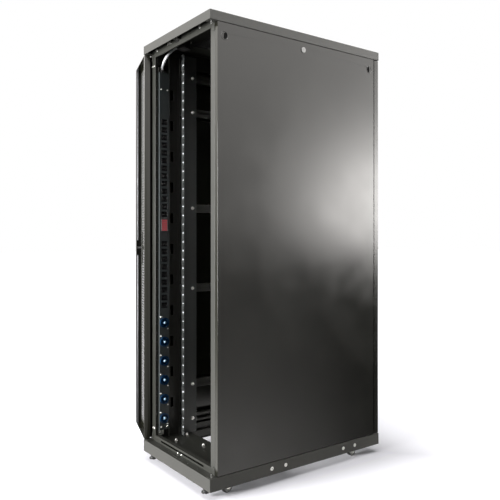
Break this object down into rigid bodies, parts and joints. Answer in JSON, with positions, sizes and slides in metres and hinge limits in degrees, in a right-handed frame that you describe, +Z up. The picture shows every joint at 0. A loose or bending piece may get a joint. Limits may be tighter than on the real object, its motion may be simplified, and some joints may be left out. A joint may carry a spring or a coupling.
{
  "type": "network server rack cabinet",
  "caption": "Floor-standing 19-inch server rack cabinet with perforated front door, split rear door, side panels, mounting rails, power strip, casters and levelling feet.",
  "frame": {"origin": "on the floor, under the middle of the whole with the rear leaf folded open, 133 mm to the right of the cabinet's centre plane", "axes": "+Z up; -Y towards the front door; +Y towards the rear doorway; +X towards the folded rear leaf"},
  "size_m": [0.8715, 1.0484, 2.047],
  "materials": {
    "frame_black": "semi-gloss black powder coat, fine orange peel",
    "panel_black": "semi-gloss black powder coat on flat sheet",
    "mesh_black": "black powder coat on perforated sheet",
    "rail_black": "semi-gloss black powder coat on roll-formed steel",
    "zinc": "bright zinc plating",
    "lock_chrome": "polished chrome plating",
    "latch_plastic": "black moulded plastic",
    "handle_plastic": "black zinc die-casting, satin",
    "strip_metal": "dark grey painted extrusion",
    "outlet_plastic": "black moulded plastic",
    "socket_blue": "blue moulded plastic",
    "meter_plastic": "grey moulded plastic with a red lit display",
    "lead_rubber": "grey cable sheath",
    "box_plastic": "dark grey moulded box",
    "brush": "black bristles in an aluminium holder",
    "tyre": "black tread on a light nylon hub",
    "fork_zinc": "zinc-plated pressed steel",
    "foot_steel": "black zinc steel foot"
  },
  "bodies": {
    "cabinet": {"base_frame": "frame_black", "base_inserts": "zinc", "roof_tray": "frame_black", "roof_cover_plate": "frame_black", "roof_brush_strips": "brush", "post_rear_left": "frame_black", "post_rear_right": "frame_black", "post_front_left": "frame_black", "post_front_right": "frame_black", "rear_header": "frame_black", "rear_sill": "frame_black", "front_header": "frame_black", "front_sill": "frame_black", "side_braces_left": "frame_black", "side_braces_right": "frame_black", "rail_front_left": "rail_black", "rail_front_right": "rail_black", "rail_rear_left": "rail_black", "rail_rear_right": "rail_black", "rail_bolts": "zinc", "frame_screws": "zinc", "accessory_channels": "frame_black", "power_strip_housing": "strip_metal", "power_strip_outlets": "outlet_plastic", "power_strip_blue_sockets": "socket_blue", "power_strip_meter": "meter_plastic", "power_strip_brackets": "zinc", "power_lead": "lead_rubber", "lead_gland_box": "box_plastic", "side_panel_left": "panel_black", "side_panel_right": "panel_black", "hinge_brackets": "frame_black", "door_keepers": "frame_black", "caster_plates": "fork_zinc"},
    "rear_leaf": {"rear_leaf_tray": "panel_black", "rear_leaf_mesh": "mesh_black", "rear_handle_plate": "handle_plastic"},
    "rear_handle": {"rear_handle_lever": "handle_plastic"},
    "rear_upper_rod": {"rear_rod_upper": "zinc"},
    "rear_lower_rod": {"rear_rod_lower": "zinc"},
    "front_door": {"front_door_tray": "panel_black", "front_door_mesh": "mesh_black", "front_handle_plate": "handle_plastic"},
    "front_handle": {"front_handle_lever": "handle_plastic"},
    "front_upper_rod": {"front_rod_upper": "zinc"},
    "front_lower_rod": {"front_rod_lower": "zinc"},
    "left_panel_lock": {"panel_lock_left": "lock_chrome"},
    "right_panel_lock": {"panel_lock_right": "lock_chrome"},
    "left_panel_latches": {"panel_latches_left": "latch_plastic"},
    "right_panel_latches": {"panel_latches_right": "latch_plastic"},
    "rear_feet": {"levelling_feet_rear": "foot_steel"},
    "front_feet": {"levelling_feet_front": "foot_steel"},
    "fork_rear_left": {"caster_fork_rear_left": "fork_zinc"},
    "wheel_rear_left": {"caster_wheels_rear_left": "tyre"},
    "fork_rear_right": {"caster_fork_rear_right": "fork_zinc"},
    "wheel_rear_right": {"caster_wheels_rear_right": "tyre"},
    "fork_front_left": {"caster_fork_front_left": "fork_zinc"},
    "wheel_front_left": {"caster_wheels_front_left": "tyre"},
    "fork_front_right": {"caster_fork_front_right": "fork_zinc"},
    "wheel_front_right": {"caster_wheels_front_right": "tyre"}
  },
  "joints": [
    {"name": "rear_leaf_hinge", "type": "hinge", "parent": "cabinet", "child": "rear_leaf", "pos_m": [0.157, 0.5005, 0.107], "axis": [0, 0, 1], "range_deg": [0, 198]},
    {"name": "rear_handle_turn", "type": "hinge", "parent": "rear_leaf", "child": "rear_handle", "pos_m": [0.41547, 0.40285, 1.042], "axis": [-0.309, -0.9511, 0], "range_deg": [0, 90]},
    {"name": "rear_upper_rod_slide", "type": "slide", "parent": "rear_leaf", "child": "rear_upper_rod", "axis": [0, 0, 1], "range_m": [0, 0.012]},
    {"name": "rear_lower_rod_slide", "type": "slide", "parent": "rear_leaf", "child": "rear_lower_rod", "axis": [0, 0, -1], "range_m": [0, 0.012]},
    {"name": "front_door_hinge", "type": "hinge", "parent": "cabinet", "child": "front_door", "pos_m": [0.157, -0.5005, 0.107], "axis": [0, 0, 1], "range_deg": [0, 175]},
    {"name": "front_handle_turn", "type": "hinge", "parent": "front_door", "child": "front_handle", "pos_m": [-0.403, -0.5135, 1.042], "axis": [0, 1, 0], "range_deg": [0, 90]},
    {"name": "front_upper_rod_slide", "type": "slide", "parent": "front_door", "child": "front_upper_rod", "axis": [0, 0, 1], "range_m": [0, 0.012]},
    {"name": "front_lower_rod_slide", "type": "slide", "parent": "front_door", "child": "front_lower_rod", "axis": [0, 0, -1], "range_m": [0, 0.012]},
    {"name": "left_panel_lock_turn", "type": "hinge", "parent": "cabinet", "child": "left_panel_lock", "pos_m": [-0.433, 0, 1.963], "axis": [-1, 0, 0], "range_deg": [0, 90]},
    {"name": "right_panel_lock_turn", "type": "hinge", "parent": "cabinet", "child": "right_panel_lock", "pos_m": [0.167, 0, 1.963], "axis": [1, 0, 0], "range_deg": [0, 90]},
    {"name": "left_panel_latches_slide", "type": "slide", "parent": "cabinet", "child": "left_panel_latches", "axis": [0, 0, 1], "range_m": [0, 0.009]},
    {"name": "right_panel_latches_slide", "type": "slide", "parent": "cabinet", "child": "right_panel_latches", "axis": [0, 0, 1], "range_m": [0, 0.009]},
    {"name": "rear_feet_screw", "type": "slide", "parent": "cabinet", "child": "rear_feet", "axis": [0, 0, 1], "range_m": [-0.019, 0]},
    {"name": "front_feet_screw", "type": "slide", "parent": "cabinet", "child": "front_feet", "axis": [0, 0, 1], "range_m": [-0.019, 0]},
    {"name": "swivel_rear_left", "type": "hinge", "parent": "cabinet", "child": "fork_rear_left", "pos_m": [-0.383, 0.381, 0.09], "axis": [0, 0, 1], "continuous": true},
    {"name": "roll_rear_left", "type": "hinge", "parent": "fork_rear_left", "child": "wheel_rear_left", "pos_m": [-0.383, 0.396, 0.025], "axis": [1, 0, 0], "continuous": true},
    {"name": "swivel_rear_right", "type": "hinge", "parent": "cabinet", "child": "fork_rear_right", "pos_m": [0.117, 0.381, 0.09], "axis": [0, 0, 1], "continuous": true},
    {"name": "roll_rear_right", "type": "hinge", "parent": "fork_rear_right", "child": "wheel_rear_right", "pos_m": [0.117, 0.396, 0.025], "axis": [1, 0, 0], "continuous": true},
    {"name": "swivel_front_left", "type": "hinge", "parent": "cabinet", "child": "fork_front_left", "pos_m": [-0.383, -0.381, 0.09], "axis": [0, 0, 1], "continuous": true},
    {"name": "roll_front_left", "type": "hinge", "parent": "fork_front_left", "child": "wheel_front_left", "pos_m": [-0.383, -0.366, 0.025], "axis": [1, 0, 0], "continuous": true},
    {"name": "swivel_front_right", "type": "hinge", "parent": "cabinet", "child": "fork_front_right", "pos_m": [0.117, -0.381, 0.09], "axis": [0, 0, 1], "continuous": true},
    {"name": "roll_front_right", "type": "hinge", "parent": "fork_front_right", "child": "wheel_front_right", "pos_m": [0.117, -0.366, 0.025], "axis": [1, 0, 0], "continuous": true}
  ],
  "couplings": [
    {"joint": "rear_upper_rod_slide", "follows": "rear_handle_turn", "m_per_rad": 0.0076394},
    {"joint": "rear_lower_rod_slide", "follows": "rear_handle_turn", "m_per_rad": 0.0076394},
    {"joint": "front_upper_rod_slide", "follows": "front_handle_turn", "m_per_rad": 0.0076394},
    {"joint": "front_lower_rod_slide", "follows": "front_handle_turn", "m_per_rad": 0.0076394}
  ]
}
